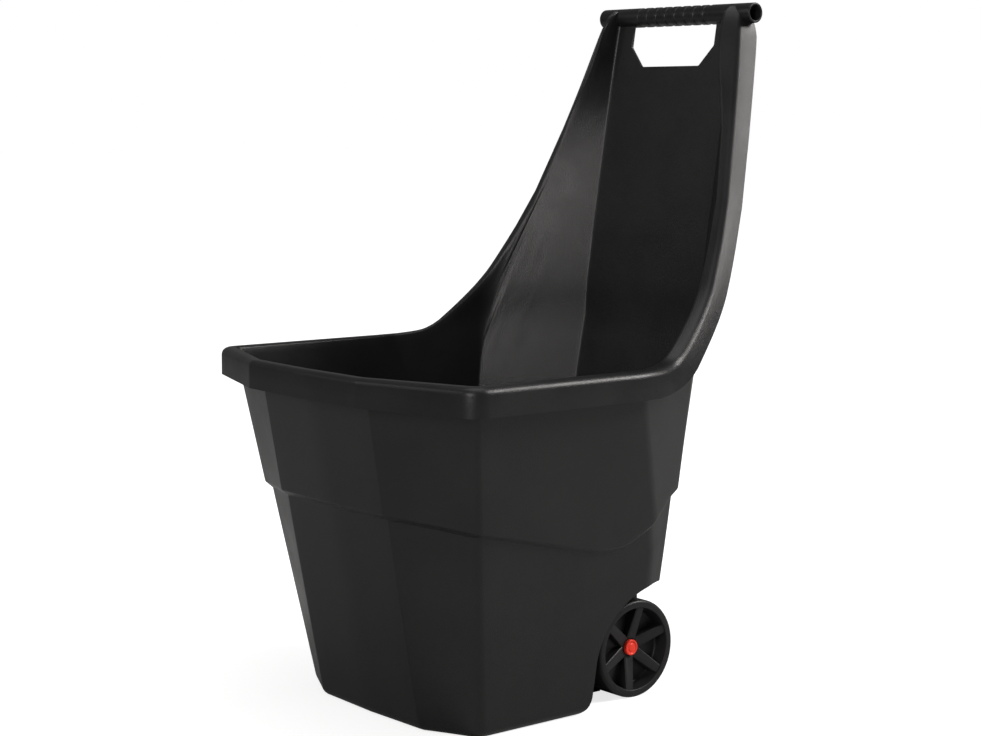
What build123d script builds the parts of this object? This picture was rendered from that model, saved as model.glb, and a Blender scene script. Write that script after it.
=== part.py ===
"""Garden cart: one moulded tub with a scoop back and tube handle, on two small wheels.

Frame: nose of the tub at -Y, handle and wheels at +Y, floor at z = 0, millimetres.
"""
from build123d import *
import os

os.makedirs("parts", exist_ok=True)

# ---- overall size -------------------------------------------------------------
width = 510.0             # across the rim
length = 600.0            # nose of the rim to the back of the handle tube
height = 840.0            # floor to the top of the handle tube
wall = 3.0                # moulded wall of the tub
reach = 400.0             # cutting shapes run this far past the part

# ---- rim ------------------------------------------------------------------------
rim_z = 416.0             # top of the level part of the rim
skirt = 33.0              # depth of the turned-down edge
nose_y = -length / 2
rim_x = width / 2
nose_half = 104.0         # half of the straight front of the rim
corner_y = -242.0         # where the front facets meet the sides

# ---- handle -----------------------------------------------------------------------
tube_r = 12.5
tube_bore = 9.5
tube_half = 133.0
tube_y = length / 2 - tube_r
tube_z = height - tube_r
rib_half = 72.0           # ribbed part of the grip
rib_count = 9
rib_w = 8.0
rib_high = 0.5            # ribs stand this far out of the tube
hole_half = 75.0          # hand hole
hole_top = 813.0
hole_side = 789.0
hole_bottom = 764.0
hole_floor_half = 51.0

# ---- tub walls: (z, F1, F2, side/E1 corner, E1/E2 corner, back corner) -------------
back_half = 106.5         # half width of the flat back panel
step_in = 7.0             # the lower tub is this much smaller all round
WALLS = (
    (0.0, (98.0, -206.0), (170.0, -166.0), (170.0, 80.0), (160.0, 96.0), (back_half, 156.0)),
    (200.0, (101.0, -244.6), (202.9, -197.0), (202.9, 70.0), (191.0, 101.0), (back_half, 185.0)),
    (416.0, (104.0, -283.0), (238.4, -230.0), (238.4, 10.0), (199.0, 127.0), (back_half, 224.0)),
    (480.0, (104.0, -283.0), (238.4, -230.0), (236.0, 12.0), (195.0, 129.0), (back_half, 234.0)),
    (520.0, (104.0, -283.0), (238.4, -230.0), (236.0, 20.0), (194.0, 148.0), (back_half, 240.0)),
    (600.0, (104.0, -283.0), (238.4, -230.0), (226.0, 60.0), (181.0, 187.0), (back_half, 252.0)),
    (700.0, (104.0, -283.0), (238.4, -230.0), (200.0, 110.0), (150.0, 220.0), (back_half, 267.0)),
    (760.0, (104.0, -283.0), (238.4, -230.0), (160.0, 140.0), (124.0, 234.0), (back_half, 276.0)),
    (845.0, (104.0, -283.0), (238.4, -230.0), (110.0, 150.0), (100.0, 240.0), (back_half, 289.0)),
)

# ---- wheels, axle, caps --------------------------------------------------------------
wheel_r = 60.0
wheel_face = 145.0        # outer face of the wheel, from the middle of the cart
wheel_w = 42.0
axle_y = 93.0
axle_z = wheel_r
axle_r = 5.0
run_clear = 0.05          # radial play of the wheel on the axle
arch_r = 90.0             # wheel arch, about the axle
well_x = 97.0             # inner wall of each wheel well
boss_r = 12.0
boss_end = 100.5
web_x = 45.0              # webs that carry the axle across its channel
hub_in = 101.0
hub_out = 131.0
axle_end = 134.5
cap_r = 11.0
cap_face = 137.0


def inset(points, gap):
    """Move every side of a convex outline inwards by gap and return the new corners."""
    moved = []
    count = len(points)
    for i in range(count):
        (ax, ay), (bx, by), (cx, cy) = points[i - 1], points[i], points[(i + 1) % count]
        d1 = Vector(bx - ax, by - ay).normalized()
        d2 = Vector(cx - bx, cy - by).normalized()
        n1 = Vector(-d1.Y, d1.X)
        n2 = Vector(-d2.Y, d2.X)
        k = gap / (1 + n1.dot(n2))
        moved.append((bx + (n1.X + n2.X) * k, by + (n1.Y + n2.Y) * k))
    return moved


def outline(row, gap):
    """Whole plan outline of one wall section, inset by gap, running anticlockwise."""
    half = list(row[1:])
    left = [(-x, y) for x, y in reversed(half)]
    return inset(half + left, gap)


# side view of the rim: level, then sweeping up to the handle (y, z)
SWEEP = ((10.0, rim_z), (60.0, 423.0), (86.0, 440.0), (129.0, 480.0), (158.0, 520.0), (200.0, 600.0),
         (234.5, 700.0), (259.5, 790.0), (265.5, 818.0))

# side view of the moulded step round the tub (y, z)
STEP = ((-262.0, 257.0), (-126.0, 227.0), (-10.0, 203.0), (18.0, 203.0), (60.0, 222.0),
        (105.0, 246.0), (200.0, 270.0))


# ---- space inside the tub -------------------------------------------------------------
with BuildPart() as upper_space:
    for row in WALLS:
        with BuildSketch(Plane.XY.offset(row[0])):
            with BuildLine():
                Polyline(*outline(row, wall), close=True)
            make_face()
    loft(ruled=True)
    # keep only what is above the step
    with BuildSketch(Plane.YZ.offset(-reach)):
        with BuildLine():
            Spline(*[(y, z + wall) for y, z in STEP])
            Polyline((STEP[-1][0], STEP[-1][1] + wall), (reach, STEP[-1][1] + wall), (reach, -5),
                     (-reach, -5), (-reach, STEP[0][1] + wall), (STEP[0][0], STEP[0][1] + wall))
        make_face()
    extrude(amount=2 * reach, mode=Mode.SUBTRACT)

with BuildPart() as space:
    for row in WALLS[:3]:
        with BuildSketch(Plane.XY.offset(row[0])):
            with BuildLine():
                Polyline(*outline(row, wall + step_in), close=True)
            make_face()
    loft(ruled=True)
    with Locations((0, 0, wall / 2)):
        Box(2 * reach, 2 * reach, wall, mode=Mode.SUBTRACT)
    fillet(space.edges().group_by(Axis.Z)[0], radius=7)
    # wheel wells and axle channel stand up inside the tub
    for side in (1, -1):
        with BuildSketch(Plane.YZ.offset(side * (well_x - wall))):
            with Locations((axle_y, axle_z)):
                Circle(arch_r + wall)
            with Locations((axle_y + 75, (axle_z + arch_r + wall) / 2)):
                Rectangle(150, axle_z + arch_r + wall)
            with Locations((axle_y, axle_z / 2)):
                Rectangle(2 * (arch_r + wall), axle_z)
        extrude(amount=side * 200, mode=Mode.SUBTRACT)
    with BuildSketch(Plane.YZ.offset(-150)):
        with Locations((axle_y, 0)):
            Rectangle(2 * (boss_r + 2 * wall), 2 * (axle_z + boss_r))
    extrude(amount=300, mode=Mode.SUBTRACT)
    add(upper_space.part)

# ---- rim channel ----------------------------------------------------------------------
PLAN = ((nose_half, nose_y), (rim_x, corner_y), (rim_x, 0.0), (236.0, 66.0), (228.0, 100.0),
        (216.0, 160.0), (205.0, 200.0), (190.0, 240.0), (170.0, 305.0))
FRONT = ((rim_x, 300.0), (rim_x, 419.0), (237.0, 424.0), (229.5, 440.0), (214.0, 480.0), (201.0, 520.0),
         (177.5, 600.0), (151.5, 700.0), (128.5, 800.0), (122.0, 845.0))


def mirrored(points, gap):
    """Closed outline from its right half, mirrored to the left and inset by gap."""
    left = [(-x, y) for x, y in reversed(points)]
    return inset(list(points) + left, gap)


with BuildPart() as channel:
    with BuildSketch(Plane.XY.offset(300)):
        with BuildLine():
            Polyline(*mirrored(PLAN, wall), close=True)
        make_face()
    extrude(amount=560)
    with BuildSketch(Plane.XZ.offset(-reach)):
        with BuildLine():
            Polyline(*mirrored(FRONT, wall), close=True)
        make_face()
    extrude(amount=2 * reach, mode=Mode.INTERSECT)
    with BuildSketch(Plane.YZ.offset(-reach)):
        with BuildLine():
            Polyline((-reach, rim_z - wall), (SWEEP[0][0] + 1, rim_z - wall))
            Spline((SWEEP[0][0] + 1, rim_z - wall), *[(y + wall * 0.8, z - wall * 0.6) for y, z in SWEEP[1:]],
                   tangents=((1, 0), (0.2, 1)))
            Polyline((SWEEP[-1][0] + wall * 0.8, SWEEP[-1][1] - wall * 0.6), (tube_y - 5, height - wall),
                     (reach, height - wall), (reach, 250), (-reach, 250), (-reach, rim_z - wall))
        make_face()
    extrude(amount=2 * reach, mode=Mode.INTERSECT)

with BuildPart() as rim:
    with BuildSketch(Plane.XY.offset(300)):
        with BuildLine():
            Polyline(*mirrored(PLAN, 0), close=True)
        make_face()
    extrude(amount=560)
    with BuildSketch(Plane.XZ.offset(-reach)):
        with BuildLine():
            Polyline(*mirrored(FRONT, 0), close=True)
        make_face()
    extrude(amount=2 * reach, mode=Mode.INTERSECT)
    with BuildSketch(Plane.YZ.offset(-reach)):
        with BuildLine():
            Polyline((-reach, rim_z), SWEEP[0])
            Spline(*SWEEP, tangents=((1, 0), (0.2, 1)))
            Polyline(SWEEP[-1], (tube_y - 16, height - 5), (tube_y - 8, height - 1), (tube_y, height),
                     (length / 2, tube_z), (length / 2 - 5, 780))
            Spline((length / 2 - 5, 780), (259.0, 690.0), (222.0, 588.0), (180.0, 505.0), (151.0, 463.0),
                   (108.0, 420.0), (72.0, 396.0), (14.0, rim_z - skirt), tangents=((-0.3, -1), (-1, 0)))
            Polyline((14.0, rim_z - skirt), (-reach, rim_z - skirt), (-reach, rim_z))
        make_face()
    extrude(amount=2 * reach, mode=Mode.INTERSECT)
    add(channel.part, mode=Mode.SUBTRACT)

# ---- the tub itself ---------------------------------------------------------------------
with BuildPart() as lower_shell:
    for row in WALLS[:3]:
        with BuildSketch(Plane.XY.offset(row[0])):
            with BuildLine():
                Polyline(*outline(row, step_in), close=True)
            make_face()
    loft(ruled=True)
    fillet(lower_shell.edges().group_by(Axis.Z)[0], radius=9)

with BuildPart() as tub:
    for row in WALLS:
        with BuildSketch(Plane.XY.offset(row[0])):
            with BuildLine():
                Polyline(*outline(row, 0), close=True)
            make_face()
    loft(ruled=True)
    # the upper part starts at the moulded step
    with BuildSketch(Plane.YZ.offset(-reach)):
        with BuildLine():
            Spline(*STEP)
            Polyline(STEP[-1], (reach, STEP[-1][1]), (reach, -5), (-reach, -5), (-reach, STEP[0][1]), STEP[0])
        make_face()
    extrude(amount=2 * reach, mode=Mode.SUBTRACT)
    add(lower_shell.part)
    # cut down to the line of the rim
    with BuildSketch(Plane.YZ.offset(-reach)):
        with BuildLine():
            Polyline((-reach, rim_z), SWEEP[0])
            Spline(*SWEEP, tangents=((1, 0), (0.2, 1)))
            Polyline(SWEEP[-1], (tube_y - 16, height - 5), (tube_y, height), (reach, height), (reach, 900),
                     (-reach, 900), (-reach, rim_z))
        make_face()
    extrude(amount=2 * reach, mode=Mode.SUBTRACT)
    # wheel wells, open below, behind and to the side
    for side in (1, -1):
        with BuildSketch(Plane.YZ.offset(side * well_x)):
            with Locations((axle_y, axle_z)):
                Circle(arch_r)
            with Locations((axle_y + 100, (axle_z + arch_r) / 2 - 5)):
                Rectangle(200, axle_z + arch_r + 10)
            with Locations((axle_y, axle_z / 2 - 5)):
                Rectangle(2 * arch_r, axle_z + 10)
        extrude(amount=side * 200, mode=Mode.SUBTRACT)
    # channel under the floor for the axle
    with BuildSketch(Plane.YZ.offset(-150)):
        with Locations((axle_y, 0)):
            Rectangle(2 * (boss_r + wall), 2 * (axle_z + boss_r - wall))
    extrude(amount=300, mode=Mode.SUBTRACT)
    add(rim.part)
    add(space.part, mode=Mode.SUBTRACT)
    # hand hole
    with BuildSketch(Plane.XZ.offset(-240)):
        with BuildLine():
            Polyline((hole_half, hole_top), (hole_half, hole_side), (hole_floor_half, hole_bottom),
                     (-hole_floor_half, hole_bottom), (-hole_half, hole_side), (-hole_half, hole_top),
                     close=True)
        make_face()
    extrude(amount=-100, mode=Mode.SUBTRACT)
    # handle tube with its grip ribs
    with Locations(Location((0, tube_y, tube_z), (0, 90, 0))):
        Cylinder(tube_r - rib_high, 2 * tube_half)
    for i in range(rib_count):
        rib_at = (2 * i / (rib_count - 1) - 1) * (rib_half - rib_w)
        with Locations(Location((rib_at, tube_y, tube_z), (0, 90, 0))):
            Cylinder(tube_r, rib_w)
    with Locations(Location((0, tube_y, tube_z), (0, 90, 0))):
        Cylinder(tube_bore, 2 * tube_half + wall, mode=Mode.SUBTRACT)
    # axle bosses on the well walls and webs across the channel
    for side in (1, -1):
        with Locations(Location((side * (boss_end + well_x - wall) / 2, axle_y, axle_z), (0, 90, 0))):
            Cylinder(boss_r, boss_end - well_x + wall)
        with Locations((side * web_x, axle_y, (axle_z + boss_r) / 2 + 1)):
            Box(2 * wall, 2 * (boss_r + wall) + 2, axle_z + boss_r - 2)
    with Locations(Location((0, axle_y, axle_z), (0, 90, 0))):
        Cylinder(axle_r, 300, mode=Mode.SUBTRACT)
tub.part.label = "tub"
export_step(tub.part, "parts/tub.step")

# ---- axle ----------------------------------------------------------------------------------
with BuildPart() as axle:
    with Locations(Location((0, axle_y, axle_z), (0, 90, 0))):
        Cylinder(axle_r, 2 * axle_end)
    chamfer(axle.edges().filter_by(GeomType.CIRCLE), length=0.8)
axle.part.label = "axle"
export_step(axle.part, "parts/axle.step")

# ---- wheels: ring, middle web, six spokes on each face, hub ------------------------------------
ring_r = 50.5             # inside of the wheel's ring
pocket = 17.0             # depth of the pockets on each face
hub_r = 16.0
spoke_count = 6
spoke_w = 8.0
spoke_turn = 21.0         # turn of the first spoke from +Y

with BuildPart() as wheel_right:
    with Locations(Location((wheel_face - wheel_w / 2, axle_y, axle_z), (0, 90, 0))):
        Cylinder(wheel_r, wheel_w)
    fillet(wheel_right.edges().filter_by(GeomType.CIRCLE), radius=4)
    for face, way in ((wheel_face, -1), (wheel_face - wheel_w, 1)):
        with BuildSketch(Plane.YZ.offset(face)):
            with Locations((axle_y, axle_z)):
                Circle(ring_r)
                Circle(hub_r, mode=Mode.SUBTRACT)
            with Locations((axle_y, axle_z)):
                with PolarLocations(ring_r / 2 + 4, spoke_count, start_angle=spoke_turn):
                    Rectangle(ring_r + 8, spoke_w, mode=Mode.SUBTRACT)
        extrude(amount=way * pocket, mode=Mode.SUBTRACT)
    # hub face sits back from the ring face
    with BuildSketch(Plane.YZ.offset(wheel_face)):
        with Locations((axle_y, axle_z)):
            Circle(hub_r)
    extrude(amount=hub_out - wheel_face, mode=Mode.SUBTRACT)
    with BuildSketch(Plane.YZ.offset(wheel_face - wheel_w)):
        with Locations((axle_y, axle_z)):
            Circle(hub_r)
    extrude(amount=hub_in - wheel_face + wheel_w)
    with Locations(Location((wheel_face - wheel_w / 2, axle_y, axle_z), (0, 90, 0))):
        Cylinder(axle_r + run_clear, 2 * wheel_w, mode=Mode.SUBTRACT)
wheel_right.part.label = "wheel_right"
export_step(wheel_right.part, "parts/wheel_right.step")

with BuildPart() as wheel_left:
    mirror(wheel_right.part, about=Plane.YZ)
wheel_left.part.label = "wheel_left"
export_step(wheel_left.part, "parts/wheel_left.step")

# ---- push-on retainers -----------------------------------------------------------------------------
retainer_r = 9.0
retainer_t = 1.0
retainer_gap = 0.4        # end play of the wheel
slots = 6

with BuildPart() as retainer_right:
    with Locations(Location((hub_out + retainer_gap + retainer_t / 2, axle_y, axle_z), (0, 90, 0))):
        Cylinder(retainer_r, retainer_t)
        Cylinder(axle_r, retainer_t, mode=Mode.SUBTRACT)
    with BuildSketch(Plane.YZ.offset(hub_out + retainer_gap)):
        with Locations((axle_y, axle_z)):
            with PolarLocations(axle_r + 0.8, slots):
                Rectangle(2.4, 0.8)
    extrude(amount=retainer_t, mode=Mode.SUBTRACT)
retainer_right.part.label = "retainer_right"
export_step(retainer_right.part, "parts/retainer_right.step")

with BuildPart() as retainer_left:
    mirror(retainer_right.part, about=Plane.YZ)
retainer_left.part.label = "retainer_left"
export_step(retainer_left.part, "parts/retainer_left.step")

# ---- red caps over the axle ends ------------------------------------------------------------------------
cap_back = hub_out + retainer_gap + retainer_t
dish_r = cap_r - 2.2

with BuildPart() as cap_right:
    with Locations(Location(((cap_back + cap_face) / 2, axle_y, axle_z), (0, 90, 0))):
        Cylinder(cap_r, cap_face - cap_back)
    with Locations(Location(((cap_back + axle_end) / 2, axle_y, axle_z), (0, 90, 0))):
        Cylinder(axle_r, axle_end - cap_back + 0.02, mode=Mode.SUBTRACT)
    # dished face inside a raised ring, with a small raised middle
    with BuildSketch(Plane.YZ.offset(cap_face)):
        with Locations((axle_y, axle_z)):
            Circle(dish_r)
            Circle(4.0, mode=Mode.SUBTRACT)
    extrude(amount=-0.9, mode=Mode.SUBTRACT)
    outer_edge = cap_right.edges().filter_by(GeomType.CIRCLE).group_by(Axis.X)[-1].sort_by(SortBy.LENGTH)[-1]
    fillet(outer_edge, radius=0.8)
cap_right.part.label = "cap_right"
export_step(cap_right.part, "parts/cap_right.step")

with BuildPart() as cap_left:
    mirror(cap_right.part, about=Plane.YZ)
cap_left.part.label = "cap_left"
export_step(cap_left.part, "parts/cap_left.step")
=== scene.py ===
"""Looks of the garden cart: a moulded charcoal tub with a scoop back, tube handle and two spoked wheels.

The frame is in metres, +Z up, with the nose of the tub at -Y and the handle and wheels at +Y.
Sizes in the classes below are in millimetres, as on a drawing, and are scaled once when a mesh is made.
"""
from __future__ import annotations

import logging
import math
from dataclasses import dataclass, field
from enum import Enum

import bmesh
import bpy
from mathutils import Matrix, Vector

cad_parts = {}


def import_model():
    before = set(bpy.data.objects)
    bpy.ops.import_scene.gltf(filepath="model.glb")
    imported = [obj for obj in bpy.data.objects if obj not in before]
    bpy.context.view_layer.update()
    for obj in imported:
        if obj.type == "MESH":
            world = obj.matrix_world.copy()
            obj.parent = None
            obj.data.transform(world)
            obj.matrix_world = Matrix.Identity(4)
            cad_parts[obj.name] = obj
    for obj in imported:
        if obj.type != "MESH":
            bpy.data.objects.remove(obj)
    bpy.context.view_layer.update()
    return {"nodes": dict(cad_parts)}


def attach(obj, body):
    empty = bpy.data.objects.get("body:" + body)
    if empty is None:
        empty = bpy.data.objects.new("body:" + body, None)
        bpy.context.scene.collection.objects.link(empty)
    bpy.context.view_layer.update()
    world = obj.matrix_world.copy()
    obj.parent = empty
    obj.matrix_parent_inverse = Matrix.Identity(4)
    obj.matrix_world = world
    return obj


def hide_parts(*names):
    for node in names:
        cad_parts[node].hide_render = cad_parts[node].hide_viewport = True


LOG = logging.getLogger("garden_cart")
MM = 0.001
# half angle past which a corner counts as straight, and the spread of its points
NEARLY_STRAIGHT = math.radians(89.7)
NEARLY_NOTHING = 1e-3
# most of a run that one rounded corner may take up
ARC_SHARE = 0.45
# radius of a turned profile where it meets its own axis
NEAR_AXIS = 0.01


class Slot(Enum):
    """Material slots of the record."""

    TUB = "tub_plastic"
    WHEEL = "wheel_plastic"
    AXLE = "axle_steel"
    SPRING = "spring_steel"
    CAP = "cap_plastic"


class Side(Enum):
    """Right and left half of the cart, with the sign of x."""

    RIGHT = 1
    LEFT = -1

    @property
    def word(self) -> str:
        """Name used in node and piece names."""
        return self.name.lower()


# ---- curves ------------------------------------------------------------------------------


def catmull(points: list[Vector], at: float) -> Vector:
    """Point on a smooth curve through a list of points.

    Args:
        points: the points that the curve passes, in order.
        at: place on the curve, counted in points from 0.

    Returns:
        The point at that place.
    """
    last = len(points) - 1
    at = min(max(at, 0.0), last)
    k = min(int(at), last - 1)
    t = at - k
    p1, p2 = points[k], points[k + 1]
    p0 = points[k - 1] if k else p1 * 2 - p2
    p3 = points[k + 2] if k + 2 <= last else p2 * 2 - p1
    return (
        p1 * 2
        + (p2 - p0) * t
        + (p0 * 2 - p1 * 5 + p2 * 4 - p3) * t * t
        + (p1 * 3 - p0 - p2 * 3 + p3) * t * t * t
    ) / 2


def rounded(corner: Vector, before: Vector, after: Vector, radius: float, steps: int) -> list[Vector]:
    """Arc that rounds one corner of a path.

    Args:
        corner: the sharp corner.
        before: the point before it.
        after: the point after it.
        radius: radius of the arc, cut short where the runs are too short for it.
        steps: number of segments of the arc.

    Returns:
        The steps + 1 points of the arc.
    """
    back = before - corner
    ahead = after - corner
    half = back.angle(ahead, math.pi) / 2
    if radius <= 0 or half > NEARLY_STRAIGHT:
        shares = [NEARLY_NOTHING * (2 * i / steps - 1) for i in range(steps + 1)]
        return [corner.lerp(before, -share) if share < 0 else corner.lerp(after, share) for share in shares]
    run = min(radius / math.tan(half), ARC_SHARE * back.length, ARC_SHARE * ahead.length)
    start = corner + back.normalized() * run
    end = corner + ahead.normalized() * run
    centre = corner + (back.normalized() + ahead.normalized()).normalized() * (run / math.cos(half))
    reach = (start - centre).length
    first, last = (start - centre).normalized(), (end - centre).normalized()
    return [centre + first.slerp(last, i / steps) * reach for i in range(steps + 1)]


def eased(value: float, start: float, span: float) -> float:
    """Share, from 0 to 1, of a span that a value has passed."""
    return min(max((value - start) / span, 0.0), 1.0)


def along(start: Vector, end: Vector, count: int) -> list[Vector]:
    """Points inside a straight run, without its ends."""
    return [start.lerp(end, (i + 1) / (count + 1)) for i in range(count)]


# ---- mesh helpers ------------------------------------------------------------------------


def to_object(bm: bmesh.types.BMesh, name: str, scale: float = MM, closed: bool = True) -> bpy.types.Object:
    """Turns a bmesh drawn in millimetres into an object in metres.

    Args:
        bm: the mesh, which is freed.
        name: name of the new object.
        scale: metres for one drawn unit.
        closed: whether it is a closed shape, whose faces are then turned outwards.

    Returns:
        The object, linked to the scene.
    """
    bmesh.ops.scale(bm, vec=(scale, scale, scale), verts=bm.verts)
    if closed:
        bmesh.ops.recalc_face_normals(bm, faces=bm.faces)
    mesh = bpy.data.meshes.new(name)
    bm.to_mesh(mesh)
    bm.free()
    made = bpy.data.objects.new(name, mesh)
    bpy.context.scene.collection.objects.link(made)
    return made


def whole_ring(bm: bmesh.types.BMesh, half: list[Vector]) -> list[bmesh.types.BMEdge]:
    """Ring of edges from its right half, mirrored to the left.

    Args:
        bm: the mesh that gets the ring.
        half: the points from the middle of the front to the middle of the back.

    Returns:
        The edges of the closed ring.
    """
    mirrored = [Vector((-p.x, p.y, p.z)) for p in reversed(half[1:-1])]
    ring = [bm.verts.new(p) for p in half + mirrored]
    return [bm.edges.new((ring[i - 1], ring[i])) for i in range(len(ring))]


def draw_out(bm: bmesh.types.BMesh, way: tuple[float, float, float]) -> None:
    """Draws a flat shape out into a closed bar."""
    drawn = bmesh.ops.extrude_face_region(bm, geom=bm.faces[:])
    moved = [v for v in drawn["geom"] if isinstance(v, bmesh.types.BMVert)]
    bmesh.ops.translate(bm, vec=way, verts=moved)


def settle(piece: bpy.types.Object) -> None:
    """Makes a piece's modifiers part of its mesh.

    Args:
        piece: the object with modifiers.
    """
    graph = bpy.context.evaluated_depsgraph_get()
    shaped = bpy.data.meshes.new_from_object(piece.evaluated_get(graph))
    piece.modifiers.clear()
    piece.data = shaped


def combine(piece: bpy.types.Object, tool: bpy.types.Object, operation: str) -> None:
    """Cuts, joins or trims a piece with another closed shape, which is then removed.

    Args:
        piece: the object to change.
        tool: the closed shape.
        operation: DIFFERENCE, UNION or INTERSECT.
    """
    step = piece.modifiers.new(operation.lower(), "BOOLEAN")
    step.solver = "MANIFOLD"
    step.operation = operation
    step.object = tool
    settle(piece)
    bpy.data.objects.remove(tool)


def soften(piece: bpy.types.Object, angle: float = 32.0) -> None:
    """Shades a piece smoothly, with the edges over an angle left crisp.

    Args:
        piece: the object.
        angle: the angle in degrees.
    """
    piece.data.shade_smooth()
    piece.data.set_sharp_from_angle(angle=math.radians(angle))


def turned(profile: list[tuple[float, float]], steps: int) -> bmesh.types.BMesh:
    """Turns a closed profile about the X axis, as on a lathe.

    Args:
        profile: (x, radius) corners in order.
        steps: segments of the whole turn.

    Returns:
        The closed ring.
    """
    bm = bmesh.new()
    corners = [bm.verts.new((x, r, 0.0)) for x, r in profile]
    loop = [bm.edges.new((corners[i - 1], corners[i])) for i in range(len(corners))]
    bmesh.ops.spin(
        bm, geom=corners + loop, cent=(0, 0, 0), axis=(1, 0, 0), angle=math.tau, steps=steps, use_merge=True
    )
    bmesh.ops.remove_doubles(bm, verts=bm.verts, dist=1e-4)
    return bm


def rounded_profile(corners: list[tuple[float, float, float]], steps: int = 4) -> list[tuple[float, float]]:
    """Closed profile with rounded corners.

    Args:
        corners: (x, radius from the axis, corner radius) in order.
        steps: segments of each rounded corner.

    Returns:
        The (x, radius) points in order.
    """
    points = [Vector((x, r, 0.0)) for x, r, _ in corners]
    found = []
    for i, (x, r, fillet) in enumerate(corners):
        if fillet:
            arc = rounded(points[i], points[i - 1], points[(i + 1) % len(points)], fillet, steps)
            found += [(p.x, p.y) for p in arc]
        else:
            found.append((x, r))
    return found


# ---- tub ---------------------------------------------------------------------------------


@dataclass
class Section:
    """Corners of the tub's wall at one height: nose, front facet, side, rear facet and back panel."""

    z: float
    nose: tuple[float, float]
    front: tuple[float, float]
    side: tuple[float, float]
    rear: tuple[float, float]
    back: tuple[float, float]

    def corners(self) -> list[Vector]:
        """The five corners of the right half, from the nose to the back panel."""
        return [Vector((x, y, 0.0)) for x, y in (self.nose, self.front, self.side, self.rear, self.back)]


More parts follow.
